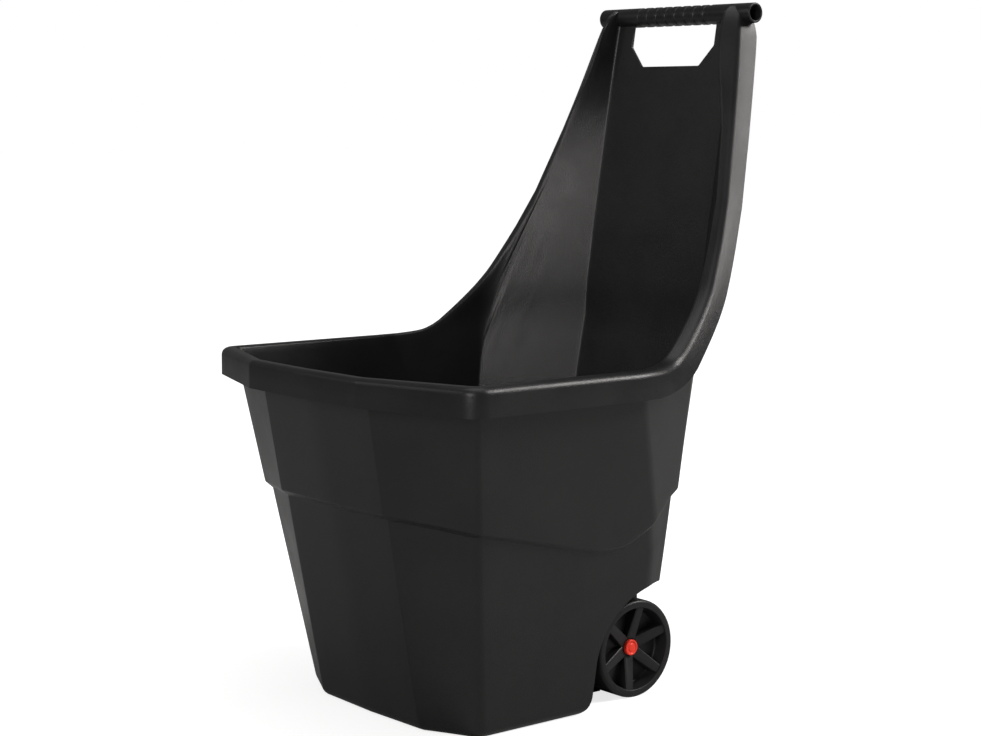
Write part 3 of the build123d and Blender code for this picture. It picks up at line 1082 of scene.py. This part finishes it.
    @classmethod
    def scuffs(cls) -> bpy.types.ShaderNodeTree:
        """Faint streaks and rub marks left by handling, as a mask.

        Returns:
            The node group.
        """
        if "scuff_marks" not in cls.made:
            tree, given, put = cls.group("scuff_marks", {"Amount": 0.5}, ("Mask",))
            stretch = tree.nodes.new("ShaderNodeMapping")
            stretch.inputs["Scale"].default_value = (60.0, 60.0, 5.0)
            stretch.inputs["Rotation"].default_value = (0.25, 0.12, 0.0)
            tree.links.new(given.outputs["Vector"], stretch.inputs["Vector"])
            streaks = cls.ramp(tree, cls.noise(tree, stretch.outputs["Vector"], 3.0, 4.0, 0.65), 0.62, 0.78)
            patches = cls.ramp(tree, cls.noise(tree, given.outputs["Vector"], 9.0, 3.0, 0.6), 0.48, 0.7)
            marks = cls.math(tree, "MULTIPLY", streaks, patches)
            mask = cls.math(tree, "MULTIPLY", marks, given.outputs["Amount"])
            tree.links.new(mask, put.inputs["Mask"])
            cls.made["scuff_marks"] = tree
        return cls.made["scuff_marks"]

    @staticmethod
    def place(
        tree: bpy.types.ShaderNodeTree, group: bpy.types.ShaderNodeTree, vector: bpy.types.NodeSocket,
        **values: float,
    ) -> bpy.types.Node:
        """Places a node group in a material with its own values.

        Args:
            tree: the material's tree.
            group: the node group.
            vector: where its patterns are read.
            values: its number inputs, by their names in lower case.

        Returns:
            The group's node.
        """
        node = tree.nodes.new("ShaderNodeGroup")
        node.node_tree = group
        tree.links.new(vector, node.inputs["Vector"])
        for key, value in values.items():
            node.inputs[key.replace("_", " ").title()].default_value = value
        return node


def new_finish(name: str) -> tuple[bpy.types.Material, bpy.types.ShaderNodeTree, bpy.types.Node]:
    """Starts a material.

    Args:
        name: its name.

    Returns:
        The material, its tree and its main shader.
    """
    mat = bpy.data.materials.new(name)
    mat.use_nodes = True
    return mat, mat.node_tree, mat.node_tree.nodes["Principled BSDF"]


@dataclass(frozen=True)
class MouldedPlastic:
    """Injection-moulded plastic with a fine grain, faint mottle and handling marks."""

    name: str
    colour: tuple[float, float, float]
    worn: tuple[float, float, float]
    rough: tuple[float, float]
    grain_scale: float
    grain_depth: float
    scuff: float
    specular: float = 0.28

    def material(self) -> bpy.types.Material:
        """The material, built on first use.

        Returns:
            The material.
        """
        found = bpy.data.materials.get(self.name)
        if found:
            return found
        mat, tree, shader = new_finish(self.name)
        shader.inputs["Specular IOR Level"].default_value = self.specular
        place = tree.nodes.new("ShaderNodeTexCoord").outputs["Object"]
        grain = Surface.place(tree, Surface.grain(), place, scale=self.grain_scale)
        marks = Surface.place(tree, Surface.scuffs(), place, amount=self.scuff)
        mottle = Surface.ramp(tree, grain.outputs["Mottle"], 0.3, 0.75, 0.0, 0.35)
        wear = Surface.math(tree, "ADD", mottle, marks.outputs["Mask"])
        tree.links.new(Surface.tones(tree, wear, self.colour, self.worn), shader.inputs["Base Color"])
        rough = Surface.ramp(tree, grain.outputs["Mottle"], 0.3, 0.7, *self.rough)
        rubbed = Surface.math(tree, "MULTIPLY", marks.outputs["Mask"], 0.08)
        tree.links.new(Surface.math(tree, "SUBTRACT", rough, rubbed), shader.inputs["Roughness"])
        normal = Surface.relief(tree, grain.outputs["Height"], 0.5, self.grain_depth)
        tree.links.new(normal, shader.inputs["Normal"])
        return mat


@dataclass(frozen=True)
class DrawnSteel:
    """Bright steel with fine lines along the axle and a little tarnish."""

    name: str
    colour: tuple[float, float, float]
    tarnish: tuple[float, float, float]
    rough: tuple[float, float]
    stretch: tuple[float, float, float]
    line_depth: float = 0.00005

    def material(self) -> bpy.types.Material:
        """The material, built on first use.

        Returns:
            The material.
        """
        found = bpy.data.materials.get(self.name)
        if found:
            return found
        mat, tree, shader = new_finish(self.name)
        shader.inputs["Metallic"].default_value = 1.0
        place = tree.nodes.new("ShaderNodeTexCoord").outputs["Object"]
        stretch = tree.nodes.new("ShaderNodeMapping")
        stretch.inputs["Scale"].default_value = self.stretch
        tree.links.new(place, stretch.inputs["Vector"])
        lines = Surface.noise(tree, stretch.outputs["Vector"], 40.0, 3.0, 0.6)
        spots = Surface.noise(tree, place, 120.0, 5.0, 0.65)
        tarnished = Surface.ramp(tree, spots, 0.45, 0.75)
        tree.links.new(Surface.tones(tree, tarnished, self.colour, self.tarnish), shader.inputs["Base Color"])
        tree.links.new(Surface.ramp(tree, lines, 0.3, 0.7, *self.rough), shader.inputs["Roughness"])
        tree.links.new(Surface.relief(tree, lines, 0.3, self.line_depth), shader.inputs["Normal"])
        return mat


CHARCOAL = MouldedPlastic(
    name="charcoal_polypropylene", colour=(0.0085, 0.0085, 0.0087), worn=(0.017, 0.0165, 0.0163),
    rough=(0.31, 0.38), grain_scale=900.0, grain_depth=0.0002, scuff=0.35,
)
WHEEL_BLACK = MouldedPlastic(
    name="wheel_black_plastic", colour=(0.008, 0.0081, 0.0083), worn=(0.016, 0.0157, 0.0155),
    rough=(0.40, 0.50), grain_scale=1300.0, grain_depth=0.00006, scuff=0.5,
)
CAP_RED = MouldedPlastic(
    name="cap_red_plastic", colour=(0.84, 0.042, 0.020), worn=(0.86, 0.075, 0.045),
    rough=(0.3, 0.38), grain_scale=2600.0, grain_depth=0.00002, scuff=0.15, specular=0.3,
)
AXLE_STEEL = DrawnSteel(
    name="drawn_axle_steel", colour=(0.62, 0.62, 0.61), tarnish=(0.42, 0.41, 0.39),
    rough=(0.25, 0.42), stretch=(0.4, 14.0, 14.0),
)
SPRING_STEEL = DrawnSteel(
    name="spring_steel", colour=(0.45, 0.45, 0.46), tarnish=(0.30, 0.29, 0.28),
    rough=(0.30, 0.45), stretch=(8.0, 8.0, 8.0),
)


# ---- studio ------------------------------------------------------------------------------


@dataclass
class Studio:
    """Pale floor, soft lights and the camera."""

    azimuth: float = 50.83
    pitch: float = 6.96
    roll: float = 0.29
    lens: float = 76.56
    place: tuple[float, float, float] = (1.9442, -1.6046, 0.7018)
    shifts: tuple[float, float] = (0.001, 0.0011)
    floor_half: float = 30.0
    floor_tone: float = 0.5
    # painted light: strength of the floor's camera-only glow near the cart, weaker there as painted shade,
    # and the distances over which it rises to full white
    floor_glow_near: float = 0.76
    floor_glow_reach: tuple[float, float] = (0.3, 1.1)
    sky_light: float = 0.16
    sky_seen: float = 1.0

    def camera(self) -> None:
        """Puts the camera in its place."""
        data = bpy.data.cameras.new("camera")
        data.sensor_width = 36.0
        data.lens = self.lens
        data.shift_x, data.shift_y = self.shifts
        data.clip_end = 100.0
        camera = bpy.data.objects.new("camera", data)
        turn = (Matrix.Rotation(math.radians(self.azimuth), 4, "Z")
                @ Matrix.Rotation(math.radians(90.0 - self.pitch), 4, "X")
                @ Matrix.Rotation(math.radians(self.roll), 4, "Z"))
        camera.matrix_world = Matrix.Translation(self.place) @ turn
        bpy.context.scene.collection.objects.link(camera)
        bpy.context.scene.camera = camera

    def softbox(self, name: str, at: tuple[float, float, float], aim: tuple[float, float, float],
                size: tuple[float, float], power: float, colour: tuple[float, float, float]) -> None:
        """One large rectangular light.

        Args:
            name: its name.
            at: where it stands.
            aim: the point it faces.
            size: width and height.
            power: watts.
            colour: tint.
        """
        data = bpy.data.lights.new(name, "AREA")
        data.shape = "RECTANGLE"
        data.size, data.size_y = size
        data.energy = power
        data.color = colour
        light = bpy.data.objects.new(name, data)
        way = Vector(aim) - Vector(at)
        light.matrix_world = Matrix.Translation(at) @ way.to_track_quat("-Z", "Y").to_matrix().to_4x4()
        bpy.context.scene.collection.objects.link(light)

    def floor(self) -> None:
        """Wide pale floor with a very slight unevenness of tone. It also has painted light: a glow seen only
        by the camera makes it read white, and the glow is weaker near the cart, so the floor there reads a
        little darker as painted shade.
        """
        bm = bmesh.new()
        bmesh.ops.create_grid(bm, x_segments=8, y_segments=8, size=self.floor_half)
        floor = to_object(bm, "floor", 1.0)
        mat, tree, shader = new_finish("pale_floor")
        shader.inputs["Specular IOR Level"].default_value = 0.1
        place = tree.nodes.new("ShaderNodeTexCoord").outputs["Object"]
        light, dark = (self.floor_tone,) * 3, (self.floor_tone * 0.98,) * 3
        tone = Surface.tones(tree, Surface.noise(tree, place, 1.5, 3.0), light, dark)
        tree.links.new(tone, shader.inputs["Base Color"])
        shader.inputs["Roughness"].default_value = 0.8
        # painted light: camera-only emission that brightens the floor to white; it is weaker near the middle,
        # so the floor round the cart reads darker as painted shade
        glow = tree.nodes.new("ShaderNodeEmission")
        seen = tree.nodes.new("ShaderNodeLightPath").outputs["Is Camera Ray"]
        reach = tree.nodes.new("ShaderNodeVectorMath")
        reach.operation = "LENGTH"
        tree.links.new(place, reach.inputs[0])
        fill = Surface.ramp(tree, reach.outputs["Value"], *self.floor_glow_reach, self.floor_glow_near, 1.0)
        tree.links.new(Surface.math(tree, "MULTIPLY", seen, fill), glow.inputs["Strength"])
        both = tree.nodes.new("ShaderNodeAddShader")
        tree.links.new(shader.outputs["BSDF"], both.inputs[0])
        tree.links.new(glow.outputs["Emission"], both.inputs[1])
        tree.links.new(both.outputs["Shader"], tree.nodes["Material Output"].inputs["Surface"])
        floor.data.materials.append(mat)

    def world(self) -> None:
        """White surroundings for the eye, and a softer grey for the light they give."""
        world = bpy.data.worlds.new("surroundings")
        bpy.context.scene.world = world
        world.use_nodes = True
        tree = world.node_tree
        base = tree.nodes["Background"]
        seen = tree.nodes.new("ShaderNodeBackground")
        for node, strength in ((base, self.sky_light), (seen, self.sky_seen)):
            node.inputs["Color"].default_value = (1.0, 1.0, 1.0, 1.0)
            node.inputs["Strength"].default_value = strength
        path = tree.nodes.new("ShaderNodeLightPath")
        mix = tree.nodes.new("ShaderNodeMixShader")
        tree.links.new(path.outputs["Is Camera Ray"], mix.inputs["Fac"])
        tree.links.new(base.outputs["Background"], mix.inputs[1])
        tree.links.new(seen.outputs["Background"], mix.inputs[2])
        tree.links.new(mix.outputs["Shader"], tree.nodes["World Output"].inputs["Surface"])

    def build(self) -> None:
        """Sets the whole studio."""
        bpy.context.scene.view_settings.view_transform = "Standard"
        self.camera()
        self.floor()
        self.world()
        warm = (1.0, 0.965, 0.95)
        self.softbox("rear_softbox", (2.1, 2.6, 2.6), (0.1, 0.1, 0.5), (1.0, 1.8), 150.0, warm)
        self.softbox("near_softbox", (1.6, -2.7, 1.4), (0.0, 0.1, 0.6), (0.7, 1.5), 46.0, warm)
        self.softbox("front_softbox", (-1.6, -3.0, 2.2), (0.0, -0.1, 0.4), (1.6, 1.6), 16.0, warm)
        self.softbox("top_softbox", (0.2, 0.0, 4.0), (0.0, 0.0, 0.0), (3.0, 3.0), 50.0, (1.0, 1.0, 1.0))


# ---- assembly ----------------------------------------------------------------------------


def dress_node(node: bpy.types.Object, finish: DrawnSteel) -> None:
    """Gives a carried-over part its finish.

    Args:
        node: the part as packed.
        finish: its steel.
    """
    node.data.materials.clear()
    node.data.materials.append(finish.material())


def main() -> None:
    """Builds the cart's pieces in order and sets the studio."""
    logging.basicConfig(level=logging.INFO, format="%(name)s: %(message)s")
    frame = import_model()
    nodes = frame["nodes"]
    moulding = Tub()
    tub = moulding.build()
    moulding.dress(tub, CHARCOAL)
    LOG.info("tub: %d faces", len(tub.data.polygons))
    for side in Side:
        wheel = Wheel(side)
        body = wheel.build()
        cap = wheel.cap()
        wheel.dress(body, cap, WHEEL_BLACK, CAP_RED)
        dress_node(nodes[f"retainer_{side.word}"], SPRING_STEEL)
        LOG.info("%s wheel: %d faces", side.word, len(body.data.polygons))
    dress_node(nodes["axle"], AXLE_STEEL)
    Studio().build()


if __name__ == "__main__":
    main()
